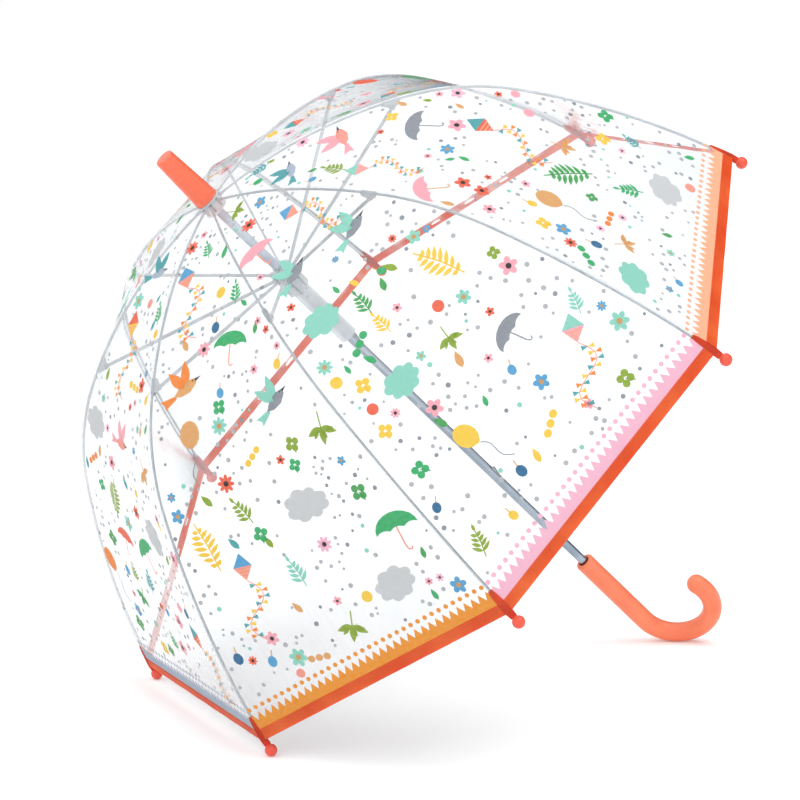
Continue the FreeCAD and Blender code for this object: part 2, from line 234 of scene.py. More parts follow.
# ---- materials ----
def colour(code):
    """Linear colour from a hex code."""
    parts = [int(code[place:place + 2], 16) / 255 for place in (1, 3, 5)]
    linear = [part / 12.92 if part <= 0.04045 else ((part + 0.055) / 1.055) ** 2.4 for part in parts]
    return (*linear, 1.0)


class Finish:
    """A node material under construction."""

    def __init__(self, name):
        self.material = bpy.data.materials.new(name)
        self.material.use_nodes = True
        self.tree = self.material.node_tree
        self.tree.nodes.clear()

    def node(self, kind, settings=None, **inputs):
        made = self.tree.nodes.new(kind)
        for key, value in (settings or {}).items():
            setattr(made, key, value)
        for key, value in inputs.items():
            self.feed(made.inputs[key.replace("_", " ")], value)
        return made

    def feed(self, socket, value):
        if isinstance(value, bpy.types.NodeSocket):
            self.tree.links.new(value, socket)
        else:
            socket.default_value = value

    def place(self, flat=False, stretch=(1, 1, 1)):
        """The surface's own coordinates in metres: the flat cut's, or the row frame's."""
        if flat:
            source = self.node("ShaderNodeUVMap", {"uv_map": "flat"}).outputs["UV"]
        else:
            source = self.node("ShaderNodeTexCoord").outputs["Object"]
        return self.node("ShaderNodeMapping", Vector=source, Scale=stretch).outputs["Vector"]

    def noise(self, vector, scale, detail=3.0, roughness=0.5):
        made = self.node("ShaderNodeTexNoise", Vector=vector, Scale=scale,
                         Detail=detail, Roughness=roughness)
        return made.outputs["Fac"]

    def ramp(self, factor, stops):
        made = self.node("ShaderNodeValToRGB", Fac=factor)
        elements = made.color_ramp.elements
        for index, (position, value) in enumerate(stops):
            element = elements[index] if index < 2 else elements.new(position)
            element.position = position
            element.color = value
        return made.outputs["Color"]

    def remap(self, factor, low, high):
        made = self.node("ShaderNodeMapRange", Value=factor, To_Min=low, To_Max=high)
        return made.outputs["Result"]

    def bump(self, height, strength, distance):
        made = self.node("ShaderNodeBump", Height=height, Strength=strength, Distance=distance)
        return made.outputs["Normal"]

    def principled(self, **inputs):
        return self.node("ShaderNodeBsdfPrincipled", **inputs)

    def finish(self, shader):
        output = self.node("ShaderNodeOutputMaterial")
        self.tree.links.new(shader, output.inputs["Surface"])
        return self.material


def moulded_plastic(name, light, deep, roughness=0.3):
    """Semi-gloss injection moulding: faint mottling, fine orange peel and handling marks."""
    finish = Finish(name)
    place = finish.place()
    tone = finish.ramp(finish.noise(place, 38, 4), [(0.3, colour(deep)), (0.7, colour(light))])
    wear = finish.remap(finish.noise(place, 240, 6, 0.65), roughness - 0.05, roughness + 0.14)
    peel = finish.bump(finish.noise(place, 900, 2), 0.12, 0.0003)
    shader = finish.principled(Base_Color=tone, Roughness=wear, Normal=peel, IOR=1.5,
                               Subsurface_Weight=0.05, Subsurface_Scale=0.002,
                               Subsurface_Radius=(1.0, 0.35, 0.2))
    return finish.finish(shader.outputs["BSDF"])


def bright_metal(name, light, deep, roughness, stretch):
    """Drawn metal: fine streaks in tone, gloss and relief, stretched by the given factors."""
    finish = Finish(name)
    place = finish.place(stretch=stretch)
    tone = finish.ramp(finish.noise(place, 60, 5), [(0.25, colour(deep)), (0.75, colour(light))])
    streaks = finish.noise(place, 420, 4, 0.6)
    gloss = finish.remap(streaks, roughness * 0.7, roughness * 1.5)
    relief = finish.bump(streaks, 0.1, 0.0002)
    shader = finish.principled(Base_Color=tone, Metallic=1.0, Roughness=gloss, Normal=relief)
    return finish.finish(shader.outputs["BSDF"])


def clear_film():
    """Thin clear film: nearly invisible face on, milky towards grazing, with glossy glare."""
    finish = Finish("clear_film")
    place = finish.place(flat=True)
    creases = finish.noise(finish.place(flat=True, stretch=(1.0, 0.22, 1.0)), 34, 4, 0.55)
    relief = finish.bump(creases, 0.35, 0.0022)
    tint = finish.ramp(finish.noise(place, 9, 2), [(0.3, colour("#F1F4F6")), (0.7, colour("#FBFCFC"))])
    clear = finish.node("ShaderNodeBsdfTransparent", Color=tint)
    haze_stops = [(0.3, colour("#D3D7DB")), (0.7, colour("#E9EBED"))]
    haze_tone = finish.ramp(finish.noise(place, 14, 3), haze_stops)
    haze = finish.node("ShaderNodeBsdfDiffuse", Color=haze_tone, Normal=relief)
    facing = finish.node("ShaderNodeLayerWeight", Blend=0.32, Normal=relief).outputs["Facing"]
    amount = finish.node("ShaderNodeMapRange", Value=facing, From_Min=0.05, From_Max=0.95,
                         To_Min=0.07, To_Max=0.6).outputs["Result"]
    # Streaks of extra milkiness along the gores: painted highlight and reflection streaks.
    streaks = finish.noise(finish.place(flat=True, stretch=(1.0, 0.12, 1.0)), 55, 3, 0.5)
    painted_reflection_streaks = finish.node("ShaderNodeMapRange", Value=streaks, From_Min=0.5, From_Max=0.75,
                          To_Min=0.0, To_Max=0.22).outputs["Result"]
    adding = {"operation": "ADD", "use_clamp": True}
    veil = finish.node("ShaderNodeMath", adding, Value=amount).outputs["Value"]
    finish.tree.links.new(painted_reflection_streaks, veil.node.inputs[1])
    body = finish.node("ShaderNodeMixShader", Fac=veil)
    finish.tree.links.new(clear.outputs["BSDF"], body.inputs[1])
    finish.tree.links.new(haze.outputs["BSDF"], body.inputs[2])
    glare = finish.node("ShaderNodeBsdfAnisotropic", Color=(1, 1, 1, 1), Roughness=0.2, Normal=relief)
    edge = finish.node("ShaderNodeFresnel", IOR=1.5, Normal=relief).outputs["Fac"]
    surface = finish.node("ShaderNodeMixShader", Fac=edge)
    finish.tree.links.new(body.outputs["Shader"], surface.inputs[1])
    finish.tree.links.new(glare.outputs["BSDF"], surface.inputs[2])
    return finish.finish(surface.outputs["Shader"])


def tinted_film(name, light, deep, opacity, flat=True, roughness=0.22, glow_share=0.35):
    """Coloured soft film: glows where light comes through, glossy, slightly uneven in depth of colour."""
    finish = Finish(name)
    place = finish.place(flat=flat)
    tone = finish.ramp(finish.noise(place, 22, 3), [(0.3, colour(deep)), (0.72, colour(light))])
    creases = finish.noise(place, 160, 3)
    relief = finish.bump(creases, 0.25, 0.0006)
    gloss = finish.remap(creases, roughness, roughness + 0.15)
    skin = finish.principled(Base_Color=tone, Roughness=gloss, Normal=relief, IOR=1.5)
    glow = finish.node("ShaderNodeBsdfTranslucent", Color=tone, Normal=relief)
    body = finish.node("ShaderNodeMixShader", Fac=glow_share)
    finish.tree.links.new(skin.outputs["BSDF"], body.inputs[1])
    finish.tree.links.new(glow.outputs["BSDF"], body.inputs[2])
    clear = finish.node("ShaderNodeBsdfTransparent", Color=tone)
    surface = finish.node("ShaderNodeMixShader", Fac=opacity)
    finish.tree.links.new(clear.outputs["BSDF"], surface.inputs[1])
    finish.tree.links.new(body.outputs["Shader"], surface.inputs[2])
    return finish.finish(surface.outputs["Shader"])


def ink(name, code):
    """Screen-printed ink on the film: a little thinner in places, so slightly mottled."""
    finish = Finish(f"ink_{name}")
    place = finish.place(flat=True)
    full = colour(code)
    thin = (*[part + (1 - part) * 0.07 for part in full[:3]], 1.0)
    tone = finish.ramp(finish.noise(place, 260, 4, 0.6), [(0.35, full), (0.75, thin)])
    grain = finish.noise(place, 1500, 2)
    relief = finish.bump(grain, 0.1, 0.0001)
    shader = finish.principled(Base_Color=tone, Roughness=0.5, Normal=relief, Specular_IOR_Level=0.25)
    glow = finish.node("ShaderNodeBsdfTranslucent", Color=tone)
    body = finish.node("ShaderNodeMixShader", Fac=0.4)
    finish.tree.links.new(shader.outputs["BSDF"], body.inputs[1])
    finish.tree.links.new(glow.outputs["BSDF"], body.inputs[2])
    return finish.finish(body.outputs["Shader"])


INK_CODES = {
    "grey": "#B2B5B8",
    "cloud_grey": "#C9CBCC",
    "slate": "#8E939B",
    "dark": "#3A3336",
    "coral": "#E9694E",
    "salmon": "#F09C8C",
    "pink": "#F0A9B4",
    "pale_pink": "#EFB6CA",
    "blush": "#FADCD6",
    "amber": "#E8962F",
    "tan": "#DDA66A",
    "yellow": "#F0C94A",
    "olive": "#8FA93C",
    "leaf": "#4DA35A",
    "green": "#3FAE6D",
    "mint": "#8ED0BE",
    "teal": "#4FA3A8",
    "blue": "#5AA3CF",
    "navy": "#356F97",
    "peach": "#F8B58E",
    "grey_blue": "#A9B6C6",
    "orange": "#EE8A3C",
}
INKS = list(INK_CODES)
INK_MATERIALS = [ink(name, code) for name, code in INK_CODES.items()]

FILM = clear_film()
HEM = tinted_film("hem_film", "#FA9356", "#EF6C38", 0.8, glow_share=0.6)
POCKET = tinted_film("pocket_film", "#F47A50", "#E65B3A", 0.42, flat=False)
SEAM = tinted_film("seam_film", "#FFFFFF", "#F4F6F7", 0.09, flat=False, roughness=0.12)
HANDLE_CORAL = moulded_plastic("handle_coral", "#F0835C", "#EC7550", 0.26)
FERRULE_CORAL = moulded_plastic("ferrule_coral", "#EC6E4C", "#E76445", 0.22)
TIP_CORAL = moulded_plastic("tip_coral", "#E2553C", "#D6452F", 0.17)
WHITE_PLASTIC = moulded_plastic("white_plastic", "#F0F0EE", "#DEDFDF", 0.35)
# The shaft's colour is the steel's own grey, darkened and tinted blue-grey as a painted reflection of dark
# surroundings.
STEEL_TUBE_PAINTED_REFLECTION = bright_metal("steel_tube", "#A7B3C0", "#8491A0", 0.12, (1, 1, 1))
WIRE = bright_metal("steel_wire", "#C9CCD0", "#A3A8AD", 0.28, (1, 1, 1))
SPRING = bright_metal("spring_steel", "#B9BDC2", "#8A9096", 0.25, (1, 1, 1))
RIB_STEEL = bright_metal("rib_steel", "#C8CCCF", "#A3A8AC", 0.34, (1, 1, 1))


def milky_plastic():
    """The runner's milky, half-clear moulding."""
    finish = Finish("milky_plastic")
    place = finish.place()
    tone = finish.ramp(finish.noise(place, 60, 3), [(0.3, colour("#E3E7EA")), (0.7, colour("#F4F6F7"))])
    peel = finish.bump(finish.noise(place, 700, 2), 0.12, 0.0003)
    gloss = finish.remap(finish.noise(place, 180, 4), 0.2, 0.36)
    skin = finish.principled(Base_Color=tone, Roughness=gloss, Normal=peel, IOR=1.45)
    clear = finish.node("ShaderNodeBsdfTransparent", Color=tone)
    surface = finish.node("ShaderNodeMixShader", Fac=0.5)
    finish.tree.links.new(clear.outputs["BSDF"], surface.inputs[1])
    finish.tree.links.new(skin.outputs["BSDF"], surface.inputs[2])
    return finish.finish(surface.outputs["Shader"])


MILKY = milky_plastic()


# ---- the CAD pieces that stay ----
NODE_FINISHES = {
    "shaft_tube": STEEL_TUBE_PAINTED_REFLECTION,
    "ferrule": FERRULE_CORAL,
    "handle": HANDLE_CORAL,
    "tip": TIP_CORAL,
    "canopy_washer": MILKY,
    "crown": WHITE_PLASTIC,
    "crown_wire": WIRE,
    "runner": MILKY,
    "top_spring": SPRING,
    "bottom_spring": SPRING,
    "stop_pin": WIRE,
    "rib": RIB_STEEL,
    "rib_bracket": RIB_STEEL,
    "stretcher": RIB_STEEL,
}


def node_kind(name):
    stem, _, last = name.rpartition("_")
    return stem if last.isdigit() else name


for node_name, node in frame["nodes"].items():
    if node_kind(node_name) in NODE_FINISHES:
        node.data.materials.clear()
        node.data.materials.append(NODE_FINISHES[node_kind(node_name)])


# ---- print motifs ----
# A motif is a list of (outline, ink) pairs in millimetres, Y towards the crown, with
# later pairs on top. An outline is a list of (x, y) corners.
def moved(outline, x=0.0, y=0.0, turn=0.0):
    cosine, sine = math.cos(turn), math.sin(turn)
    return [(x + px * cosine - py * sine, y + px * sine + py * cosine) for px, py in outline]


def moved_all(pairs, **change):
    return [(moved(outline, **change), name) for outline, name in pairs]


def disc(radius, corners=10, x=0.0, y=0.0, squash=1.0):
    steps = [2 * math.pi * step / corners for step in range(corners)]
    return [(x + radius * math.cos(a), y + radius * squash * math.sin(a)) for a in steps]


def lobed(radius, lobes, depth, corners_each=6):
    """A round outline with rounded lobes, for petals and clouds."""
    count = lobes * corners_each
    outline = []
    for step in range(count):
        angle = 2 * math.pi * step / count
        reach = radius * (1 - depth * (1 - abs(math.sin(lobes * angle / 2))))
        outline.append((reach * math.cos(angle), reach * math.sin(angle)))
    return outline


def leaf_shape(length, width):
    """A pointed leaf from the origin upwards."""
    steps = 5
    right = [(width / 2 * math.sin(math.pi * (k / steps) ** 0.8), length * k / steps)
             for k in range(1, steps)]
    return [(0, 0), *right, (0, length), *[(-x, y) for x, y in reversed(right)]]


def stroke(points, width):
    """A thin line through the points, as one outline."""
    left, right = [], []
    for index, (x, y) in enumerate(points):
        ahead = points[min(index + 1, len(points) - 1)]
        behind = points[max(index - 1, 0)]
        dx, dy = ahead[0] - behind[0], ahead[1] - behind[1]
        size = math.hypot(dx, dy) or 1.0
        nx, ny = -dy / size * width / 2, dx / size * width / 2
        left.append((x + nx, y + ny))
        right.append((x - nx, y - ny))
    return left + right[::-1]


def flower(rng, size):
    petals = rng.choice([5, 5, 6, 8])
    petal_ink = rng.choice(["blue", "pink", "pink", "coral", "mint", "pale_pink"])
    heart_ink = "dark" if petal_ink in ("pink", "coral", "pale_pink") else "tan"
    return [(lobed(size / 2, petals, 0.42), petal_ink), (disc(size * 0.15), heart_ink)]


def clover(rng, size):
    leaf_ink = rng.choice(["leaf", "green", "yellow", "olive"])
    turns = [0.5 + index * math.pi / 2 for index in range(4)]
    reach = size * 0.26
    lobes = [disc(size * 0.2, 9, reach * math.cos(turn), reach * math.sin(turn)) for turn in turns]
    stem = stroke([(0, 0), (size * 0.1, -size * 0.5)], size * 0.07)
    return [(stem, leaf_ink)] + [(lobe, leaf_ink) for lobe in lobes]


def berries(rng, size):
    """Three round seeds in a row."""
    seed_ink = rng.choice(["yellow", "orange", "green", "tan"])
    return [(disc(size * 0.17, 10, x=size * 0.36 * step, y=size * 0.05 * step, squash=0.9), seed_ink)
            for step in (-1, 0, 1)]


def broad_leaf(rng, size):
    """Three broad blades from one stalk."""
    leaf_ink = rng.choice(["yellow", "tan", "olive", "leaf", "orange"])
    pairs = [(stroke([(0, size * 0.5), (0, 0)], size * 0.04), leaf_ink)]
    for turn in (-0.7, 0.0, 0.7):
        blade = moved(leaf_shape(size * 0.48, size * 0.2), turn=math.pi + turn * 1.7)
        pairs.append((moved(blade, y=size * 0.08), leaf_ink))
        side = moved(leaf_shape(size * 0.26, size * 0.12), turn=math.pi + turn * 1.7 + 0.5)
        pairs.append((moved(side, x=math.sin(turn * 1.7) * size * 0.12), leaf_ink))
    return pairs


def leaf(rng, size):
    leaf_ink = rng.choice(["green", "leaf", "teal", "olive", "tan", "yellow"])
    return [(leaf_shape(size, size * 0.45), leaf_ink)]


def sprig(rng, size):
    """A stem with pairs of leaves."""
    leaf_ink = rng.choice(["mint", "green", "olive", "leaf", "yellow", "teal"])
    pairs = [(stroke([(0, 0), (size * 0.04, size * 0.5), (0, size)], size * 0.045), leaf_ink)]
    count = 4
    for index in range(count):
        height = size * (0.2 + 0.7 * index / count)
        blade = leaf_shape(size * (0.42 - 0.06 * index), size * 0.13)
        for side in (-1, 1):
            pairs.append((moved(blade, y=height, turn=side * 0.95), leaf_ink))
    pairs.append((moved(leaf_shape(size * 0.26, size * 0.12), y=size * 0.92), leaf_ink))
    return moved_all(pairs, y=-size / 2)


def fern(rng, size):
    """A large leaf of many narrow blades."""
    leaf_ink = rng.choice(["olive", "leaf", "yellow"])
    pairs = [(stroke([(0, 0), (size * 0.03, size * 0.5), (0, size)], size * 0.03), leaf_ink)]
    rows = 7
    for index in range(rows):
        height = size * (0.12 + 0.8 * index / rows)
        reach = size * 0.3 * math.sin(math.pi * (index + 1.4) / (rows + 1.6))
        blade = leaf_shape(reach, size * 0.085)
        for side in (-1, 1):
            pairs.append((moved(blade, y=height, turn=side * 1.15), leaf_ink))
    return moved_all(pairs, y=-size / 2)


def cloud(rng, size):
    """Uneven round puffs about an oval."""
    puffs, lobes, corners_each = [], 8, 6
    swells = [rng.uniform(0.82, 1.12) for _ in range(lobes)]
    for step in range(lobes * corners_each):
        angle = 2 * math.pi * step / (lobes * corners_each)
        ahead = (step % corners_each) / corners_each
        lobe = step // corners_each
        swell = swells[lobe] * (1 - ahead) + swells[(lobe + 1) % lobes] * ahead
        reach = size / 2 * swell * (1 - 0.17 * (1 - abs(math.sin(lobes * angle / 2))))
        puffs.append((reach * math.cos(angle), reach * 0.74 * math.sin(angle)))
    return [(puffs, rng.choice(["cloud_grey", "cloud_grey", "mint", "cloud_grey"]))]


def parasol(rng, size):
    """A small open umbrella with a scalloped edge and a crook."""
    cover_ink = rng.choice(["green", "coral", "salmon", "pink", "slate"])
    stick_ink = rng.choice(["slate", "tan", "salmon"])
    radius = size / 2
    top = [(radius * math.cos(a), radius * 0.72 * math.sin(a)) for a in
           [math.pi * step / 10 for step in range(11)]]
    edge = [(-radius + radius * step / 6, radius * 0.1 * abs(math.sin(math.pi * step / 4)))
            for step in range(1, 12)]
    stick = [(0, radius * 0.1), (0, -radius * 0.75), (radius * 0.06, -radius * 0.9),
             (radius * 0.17, -radius * 0.93), (radius * 0.25, -radius * 0.83)]
    return [(stroke(stick, size * 0.035), stick_ink), (top + edge, cover_ink)]


def kite(rng, size):
    """A diamond of two inks, with stripes, and a curling tail of small pennants."""
    first, second = rng.choice([
        ("teal", "coral"), ("coral", "yellow"), ("blue", "salmon"), ("mint", "pink")])
    width, high = size * 0.13, size * 0.17
    pairs = [
        ([(0, high), (-width, 0), (0, 0)], first), ([(0, high), (0, 0), (width, 0)], first),
        ([(-width, 0), (0, -high), (0, 0)], second), ([(0, 0), (0, -high), (width, 0)], second),
    ]
    for step in range(1, 4):
        share = step / 4
        bar = [(-width * (1 - share), -high * share), (width * (1 - share), -high * share)]
        pairs.append((stroke(bar, size * 0.018), "peach"))
    tail = [(size * 0.16 * math.sin(step * 0.62), -high - size * 0.075 * step) for step in range(11)]
    pairs.append((stroke(tail, size * 0.012), "salmon"))
    inks = ["coral", "teal", "pink", "yellow", "mint", "orange"]
    for step in range(1, 10):
        x, y = tail[step]
        for side in (-1, 1):
            pennant = [(0, 0), (side * size * 0.075, size * 0.03), (side * size * 0.075, -size * 0.03)]
            pairs.append((moved(pennant, x=x, y=y), inks[(step * 2 + side) % len(inks)]))
    return moved_all(pairs, y=size * 0.33)


def balloon(rng, size):
    bag_ink = rng.choice(["yellow", "orange", "tan", "coral"])
    string = [(size * 0.05 * math.sin(step), -size * 0.09 * step) for step in range(8)]
    return [(stroke(string, size * 0.02), "slate"),
            ([(-size * 0.05, size * 0.02), (size * 0.05, size * 0.02), (0, size * 0.09)], bag_ink),
            (disc(size * 0.2, 14, y=size * 0.27, squash=1.2), bag_ink)]


def bird(rng, size):
    """A plain small bird in flight: body, two wings, tail and beak."""
    body_ink, wing_ink = rng.choice([
        ("tan", "orange"), ("grey_blue", "teal"), ("salmon", "pink"), ("slate", "mint")])
    body = [(-size * 0.24, size * 0.02), (-size * 0.1, size * 0.09), (size * 0.1, size * 0.1),
            (size * 0.22, size * 0.05), (size * 0.2, -size * 0.03), (size * 0.05, -size * 0.09),
            (-size * 0.12, -size * 0.06)]
    tail = [(-size * 0.22, size * 0.03), (-size * 0.48, size * 0.1), (-size * 0.42, 0),
            (-size * 0.46, -size * 0.07), (-size * 0.2, -size * 0.03)]
    wing = leaf_shape(size * 0.42, size * 0.17)
    return [(tail, wing_ink), (moved(wing, x=size * 0.02, y=size * 0.04, turn=-0.35), wing_ink),
            (body, body_ink), (moved(wing, x=-size * 0.02, y=size * 0.03, turn=0.35), wing_ink),
            ([(size * 0.2, size * 0.05), (size * 0.32, size * 0.02), (size * 0.2, 0)], "dark"),
            (disc(size * 0.015, 6, x=size * 0.16, y=size * 0.045), "dark")]


def spot(rng, size):
    return [(disc(size / 2, 14), rng.choice(["coral", "salmon", "pink", "yellow"]))]


def bud(rng, size):
    """A small round berry on a stalk."""
    berry_ink = rng.choice(["navy", "blue", "yellow", "green"])
    return [(stroke([(0, -size * 0.1), (size * 0.15, size * 0.5)], size * 0.08), "tan"),
            (disc(size * 0.3, 10, y=-size * 0.2, squash=1.2), berry_ink)]


# Each motif: its function, its size range, the clear radius that it needs as a share
# of its size, and how many a gore has.
MOTIFS = [
    (kite, (62, 76), 0.42, 2),
    (bird, (48, 58), 0.46, 2),
    (cloud, (36, 44), 0.5, 2),
    (parasol, (30, 42), 0.52, 2),
    (fern, (40, 52), 0.42, 1),
    (balloon, (44, 52), 0.44, 1),
    (broad_leaf, (24, 32), 0.5, 2),
    (sprig, (18, 26), 0.5, 4),
    (flower, (12, 17), 0.52, 9),
    (berries, (18, 24), 0.45, 2),
    (clover, (12, 18), 0.5, 5),
    (leaf, (9, 15), 0.48, 10),
    (bud, (11, 15), 0.5, 5),
    (spot, (8, 11), 0.55, 3),
    (flower, (7, 9), 0.6, 12),
]
DOT_COUNT = 185
DOT_RADII = (1.2, 2.3)
PRINT_TOP = 34.0
PRINT_LAYER_STEP = 0.05
PRINT_LIFT = 0.22
CUT_STEP = 13.0
CUT_TOLERANCE = 1e-5
SMALLEST_PRINT_AREA = 1e-4


def roomy(spots, u, station, radius):
    return all(math.hypot(u - a, station - b) > radius + other for a, b, other in spots)


def scatter(gore, bottom):
    """Motifs and dots over one gore, as flat outlines, largest first so that all find room."""
    rng = random.Random(100 + gore)
    spots, pairs = [], []
    for make, (small, large), room, count in MOTIFS:
        for _ in range(count):
            size = rng.uniform(small, large)
            radius = size * room
            picture = make(rng, size)
            turn = rng.uniform(-0.6, 0.6)
            for _ in range(120):
                station = rng.uniform(PRINT_TOP + radius, bottom - radius)
                reach = float(half_width(station)) - radius * 0.8 - 3
                u = rng.uniform(-1, 1) * max(reach, 0)
                if reach > 0 and roomy(spots, u, station, radius):
                    spots.append((u, station, radius))
                    for level, (outline, name) in enumerate(moved_all(picture, turn=turn)):
                        pairs.append(([(u + x, station - y) for x, y in outline], name, level))
                    break
    for _ in range(DOT_COUNT):
        radius = rng.uniform(*DOT_RADII)
        dot_ink = rng.choice(["grey"] * 12 + ["slate"] * 3 + ["mint"])
        for _ in range(60):
            station = rng.uniform(PRINT_TOP, bottom - radius)
            u = rng.uniform(-1, 1) * (float(half_width(station)) - radius - 3)
            if roomy(spots, u, station, radius + 1.5):
                spots.append((u, station, radius))
                pairs.append(([(u + x, station + y) for x, y in disc(radius, 8)], dot_ink, 0))
                break
    return pairs


BORDER_INKS = {
    1: "blush", 2: "blush", 3: "blush", 4: "grey_blue",
    5: "amber", 6: "pale_pink", 7: "peach", 8: "salmon",
}


def border(gore):
    """The printed edging over the hem: a solid band, pointed teeth and a row of dots."""
    name = BORDER_INKS[gore]
    band_top = HEM_TOP - BORDER_BAND
    tooth_top = band_top - TOOTH_HEIGHT
    dot_row = tooth_top - BORDER_DOT_GAP
    pairs = []
    for tooth in range(TOOTH_COUNT):
        left, right = -1 + 2 * tooth / TOOTH_COUNT, -1 + 2 * (tooth + 1) / TOOTH_COUNT
        middle = (left + right) / 2
        low, high = float(half_width(HEM_TOP + 1)), float(half_width(band_top))
        pairs.append(([(left * low, HEM_TOP + 1), (right * low, HEM_TOP + 1),
                       (right * high, band_top), (left * high, band_top)], name, 0))
        pairs.append(([(left * high, band_top), (right * high, band_top),
                       (middle * float(half_width(tooth_top)), tooth_top)], name, 0))
        centre = middle * float(half_width(dot_row))
        pairs.append(([(centre + x, dot_row + y) for x, y in disc(BORDER_DOT_RADIUS, 8)], name, 0))
    return pairs, dot_row - BORDER_DOT_RADIUS


def cut_print(pairs):
    """The flat outlines as one mesh, cut where it has to bend and along the gore's middle."""
    work = bmesh.new()
    for outline, name, level in pairs:
        corners = [work.verts.new((u, station, level * PRINT_LAYER_STEP)) for u, station in outline]
        work.faces.new(corners).material_index = INKS.index(name)
    bmesh.ops.triangulate(work, faces=work.faces[:])
    cuts = [((0, station, 0), (0, 1, 0)) for station in np.arange(PRINT_TOP, HEM_BOTTOM, CUT_STEP)]
    for place, normal in [((0, 0, 0), (1, 0, 0)), *cuts]:
        everything = work.verts[:] + work.edges[:] + work.faces[:]
        bmesh.ops.bisect_plane(work, geom=everything, dist=CUT_TOLERANCE, plane_co=place, plane_no=normal)
    return work


def print_half(name, gore, work, side):
    """One half of a gore's print, on the outside of the film."""
    vertices, faces, inks, numbers = [], [], [], {}
    for face in work.faces:
        if face.calc_center_median().x * side <= 0 or face.calc_area() < SMALLEST_PRINT_AREA:
            continue
        corners = []
        for vertex in face.verts:
            if vertex.index not in numbers:
                numbers[vertex.index] = len(vertices)
                vertices.append(tuple(vertex.co))
            corners.append(numbers[vertex.index])
        faces.append(corners)
        inks.append(face.material_index)
    flat = np.array(vertices)
    share = np.clip(flat[:, 0] / half_width(flat[:, 1]), -1, 1)
    points = film_point(gore, flat[:, 1], share, PRINT_LIFT + flat[:, 2])
    used = sorted(set(inks))
    return make_object(name, points, faces, [INK_MATERIALS[index] for index in used],
                       flat=flat[:, :2] * MM, face_inks=[used.index(index) for index in inks])


# ---- the canopy ----
FILM_ROWS = 92
FILM_COLUMNS = 14


def film_half(name, gore, side):
    stations = np.linspace(FILM_TOP, FILM_BOTTOM, FILM_ROWS)
    shares = np.linspace(0, 1, FILM_COLUMNS) if side > 0 else np.linspace(-1, 0, FILM_COLUMNS)
    grid_s, grid_t = np.meshgrid(stations, shares, indexing="ij")
    points = film_point(gore, grid_s, grid_t).reshape(-1, 3)
    flat = np.stack([grid_t * half_width(grid_s), grid_s], axis=-1).reshape(-1, 2) * MM
    return make_object(name, points, grid_faces(FILM_ROWS, FILM_COLUMNS), [FILM], flat=flat)


HEM_COLUMNS = 26
HEM_LIFT = 0.25


def hem_profile():
    """(distance down from the hem's top, rise off the film's face) round the folded band."""
    radius = HEM_THICKNESS / 2
    weld = [(0.0, 0.25), (0.5, radius), (1.8, radius), (2.2, radius - 0.2), (2.6, radius)]
    straight = [(down, radius + 0.12 * math.sin(down)) for down in (4.0, 5.5, 7.0, 8.4)]
    turns = [math.pi / 2 - math.pi * step / 6 for step in range(7)]
    fold = [(HEM_WIDTH - radius + radius * math.cos(a), radius * math.sin(a)) for a in turns]
    inside = [(down, -rise) for down, rise in reversed(weld + straight)]
    return weld + straight + fold + inside


def hem_half(name, gore, side):
    profile = np.array(hem_profile())
    shares = np.linspace(0, 1, HEM_COLUMNS) if side > 0 else np.linspace(-1, 0, HEM_COLUMNS)
    wave = 0.18 * np.sin(shares * 19 + gore)
    rows = []
    for share, lift in zip(shares, wave):
        rise = HEM_LIFT + profile[:, 1] + lift * (1 - share**2)
        rows.append(film_point(gore, HEM_TOP + profile[:, 0], share, rise))
    points = np.array(rows).reshape(-1, 3)
    faces = grid_faces(HEM_COLUMNS, len(profile), closed=True)
    faces.append(ring_cap(HEM_COLUMNS - 1 if side > 0 else 0, len(profile), side > 0))
    across = np.repeat(shares * float(half_width(HEM_TOP)), len(profile))
    flat = np.stack([across, np.tile(profile[:, 0], HEM_COLUMNS)], axis=-1) * MM
    return face_outwards(make_object(name, points, faces, [HEM], flat=flat))


SEAM_HALF_WIDTH = 2.2
SEAM_LIFT = 0.35
SEAM_TOP = 14.0
SEAM_ROWS = 80


def seam_strip(index):
    """The welded strip over a rib, folded along the ridge between two gores."""
    stations = np.linspace(SEAM_TOP, HEM_TOP + 2, SEAM_ROWS)
    widths = np.minimum(SEAM_HALF_WIDTH, half_width(stations) * 0.6)
    before, after = (index - 2) % GORES + 1, index
    columns = []
    for share in (-1.0, -0.5):
        columns.append(film_point(before, stations, 1 + share * widths / half_width(stations), SEAM_LIFT))
    columns.append(film_point(after, stations, np.full(SEAM_ROWS, -1.0), SEAM_LIFT + 0.15))
    for share in (0.5, 1.0):
        columns.append(film_point(after, stations, -1 + share * widths / half_width(stations), SEAM_LIFT))
    points = np.stack(columns, axis=1).reshape(-1, 3)
    strip = make_object(f"seam_strip_{index}", points, grid_faces(SEAM_ROWS, len(columns)), [SEAM])
    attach(strip, f"rib_{index}")
    return strip


def ring_at(station, azimuth, wide, deep, offset, corners):
    """An oval ring round the rib, across it, wide sideways and deep through the film."""
    r, z, slope = rib_curve(station, offset)
    angles = np.linspace(0, 2 * math.pi, corners, endpoint=False)
    side, out = wide * np.cos(angles), deep * np.sin(angles)
    radial = r + out * math.sin(slope)
    return np.stack([
        radial * math.cos(azimuth) - side * math.sin(azimuth),
        radial * math.sin(azimuth) + side * math.cos(azimuth),
        z + out * math.cos(slope)], axis=-1)


